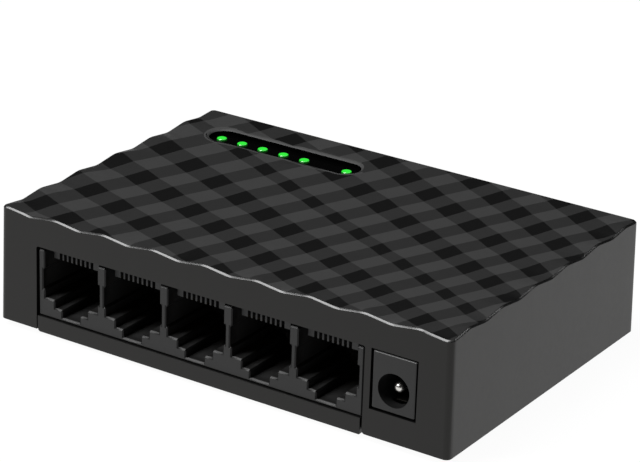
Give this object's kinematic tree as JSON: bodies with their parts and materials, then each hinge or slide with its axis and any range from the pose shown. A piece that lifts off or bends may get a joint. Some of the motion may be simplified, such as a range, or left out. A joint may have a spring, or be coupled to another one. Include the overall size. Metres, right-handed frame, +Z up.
{
  "type": "desktop network switch",
  "caption": "Small box-shaped desktop network switch with a faceted top, a row of sockets, a power jack and an indicator strip.",
  "frame": {"origin": "on the desk, under the middle of the case", "axes": "+X along the row of sockets, from left to right as seen facing them; +Y from the sockets to the back; +Z up"},
  "size_m": [0.0974, 0.067, 0.024],
  "materials": {
    "case_plastic": "satin moulded black ABS",
    "foot_rubber": "matte",
    "screw_steel": "zinc plated",
    "label": "blank satin film",
    "window_black": "gloss black",
    "light_guide": "clear, lit green from below",
    "led_body": "clear epoxy over a white body",
    "socket_plastic": "moulded black PBT",
    "contact_gold": "gold flash on bronze",
    "nickel": "nickel plate",
    "circuit_board": "green solder mask",
    "chip_epoxy": "moulded epoxy",
    "capacitor_sleeve": "dark shrink sleeve"
  },
  "bodies": {
    "switch": {"top_cover": "case_plastic", "base_plate": "case_plastic", "rubber_foot_1": "foot_rubber", "rubber_foot_2": "foot_rubber", "rubber_foot_3": "foot_rubber", "rubber_foot_4": "foot_rubber", "case_screw_1": "screw_steel", "case_screw_2": "screw_steel", "rating_label": "label", "led_window": "window_black", "light_guide": "light_guide", "led_1": "led_body", "led_2": "led_body", "led_3": "led_body", "led_4": "led_body", "led_5": "led_body", "led_6": "led_body", "rj45_housing": "socket_plastic", "port_1_comb": "socket_plastic", "port_2_comb": "socket_plastic", "port_3_comb": "socket_plastic", "port_4_comb": "socket_plastic", "port_5_comb": "socket_plastic", "dc_jack_housing": "socket_plastic", "dc_jack_pin": "nickel", "dc_jack_terminal": "nickel", "crystal": "nickel", "circuit_board": "circuit_board", "switch_chip": "chip_epoxy", "memory_chip": "chip_epoxy", "lan_transformer_1": "chip_epoxy", "lan_transformer_2": "chip_epoxy", "power_inductor": "chip_epoxy", "voltage_regulator": "chip_epoxy", "input_diode": "chip_epoxy", "resistor_pack_1": "chip_epoxy", "resistor_pack_2": "chip_epoxy", "resistor_pack_3": "chip_epoxy", "capacitor_1": "capacitor_sleeve", "capacitor_2": "capacitor_sleeve"},
    "contacts_1": {"port_1_contacts": "contact_gold"},
    "contacts_2": {"port_2_contacts": "contact_gold"},
    "contacts_3": {"port_3_contacts": "contact_gold"},
    "contacts_4": {"port_4_contacts": "contact_gold"},
    "contacts_5": {"port_5_contacts": "contact_gold"},
    "jack_leaf": {"dc_jack_spring": "nickel"}
  },
  "joints": [
    {"name": "contact_hinge_1", "type": "hinge", "parent": "switch", "child": "contacts_1", "pos_m": [-0.03235, -0.02937, 0.01515], "axis": [1, 0, 0], "range_deg": [0, 14], "stiffness_Nm_per_rad": 0.3},
    {"name": "contact_hinge_2", "type": "hinge", "parent": "switch", "child": "contacts_2", "pos_m": [-0.01838, -0.02937, 0.01515], "axis": [1, 0, 0], "range_deg": [0, 14], "stiffness_Nm_per_rad": 0.3},
    {"name": "contact_hinge_3", "type": "hinge", "parent": "switch", "child": "contacts_3", "pos_m": [-0.00441, -0.02937, 0.01515], "axis": [1, 0, 0], "range_deg": [0, 14], "stiffness_Nm_per_rad": 0.3},
    {"name": "contact_hinge_4", "type": "hinge", "parent": "switch", "child": "contacts_4", "pos_m": [0.00956, -0.02937, 0.01515], "axis": [1, 0, 0], "range_deg": [0, 14], "stiffness_Nm_per_rad": 0.3},
    {"name": "contact_hinge_5", "type": "hinge", "parent": "switch", "child": "contacts_5", "pos_m": [0.02353, -0.02937, 0.01515], "axis": [1, 0, 0], "range_deg": [0, 14], "stiffness_Nm_per_rad": 0.3},
    {"name": "jack_leaf_hinge", "type": "hinge", "parent": "switch", "child": "jack_leaf", "pos_m": [0.03726, -0.02272, 0.00759], "axis": [1, 0, 0], "range_deg": [0, 5], "stiffness_Nm_per_rad": 0.3}
  ]
}
